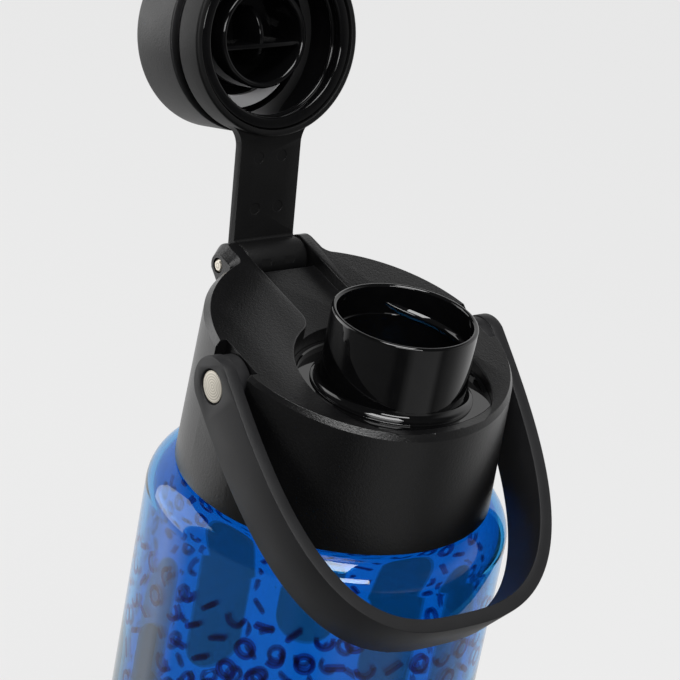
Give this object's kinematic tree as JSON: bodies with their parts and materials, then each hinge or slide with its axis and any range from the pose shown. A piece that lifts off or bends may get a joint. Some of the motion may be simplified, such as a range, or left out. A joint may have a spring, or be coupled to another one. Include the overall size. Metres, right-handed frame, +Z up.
{
  "type": "large water jug",
  "caption": "Large round water jug with a screw lid, open drinking spout, flip cap on a hinged strap and a swinging carry handle.",
  "frame": {"origin": "centre of the bottle's foot ring, on the surface that it stands on", "axes": "+Z up along the bottle, -Y to the front where the spout and the hanging handle are, +Y to the strap's hinge"},
  "size_m": [0.1048, 0.1654, 0.3405],
  "materials": {
    "bottle_blue": "clear moulded copolyester, tinted through",
    "lid_black": "fine spark-eroded grain",
    "gloss_black": "polished mould",
    "handle_charcoal": "soft satin",
    "steel": "turned face",
    "silicone": "translucent silicone"
  },
  "bodies": {
    "bottle": {"bottle_body": "bottle_blue"},
    "gasket": {"neck_gasket": "silicone"},
    "lid": {"lid_shell": "lid_black", "thread_liner": "gloss_black", "spout": "gloss_black", "hinge_pin": "steel", "handle_rivets": "steel", "rivet_washers": "steel"},
    "strap": {"strap_link": "handle_charcoal"},
    "cap": {"cap_knob": "lid_black", "cap_liner": "gloss_black", "cap_seal": "silicone"},
    "handle": {"handle": "handle_charcoal"}
  },
  "joints": [
    {"name": "lid_lift", "type": "slide", "parent": "bottle", "child": "gasket", "axis": [0, 0, 1], "range_m": [0, 0.009]},
    {"name": "lid_turn", "type": "hinge", "parent": "gasket", "child": "lid", "pos_m": [0, 0, 0.205], "axis": [0, 0, 1], "range_deg": [0, 540]},
    {"name": "cap_flip", "type": "hinge", "parent": "lid", "child": "strap", "pos_m": [0, 0.0471, 0.2507], "axis": [1, 0, 0], "range_deg": [0, 107.6]},
    {"name": "cap_turn", "type": "hinge", "parent": "strap", "child": "cap", "pos_m": [0, 0.05978, 0.31413], "axis": [0, 0.9532, -0.3024], "continuous": true},
    {"name": "handle_swing", "type": "hinge", "parent": "lid", "child": "handle", "pos_m": [0, 0, 0.2401], "axis": [-1, 0, 0], "range_deg": [0, 160]}
  ],
  "couplings": [
    {"joint": "lid_lift", "follows": "lid_turn", "m_per_rad": 0.00095493}
  ]
}
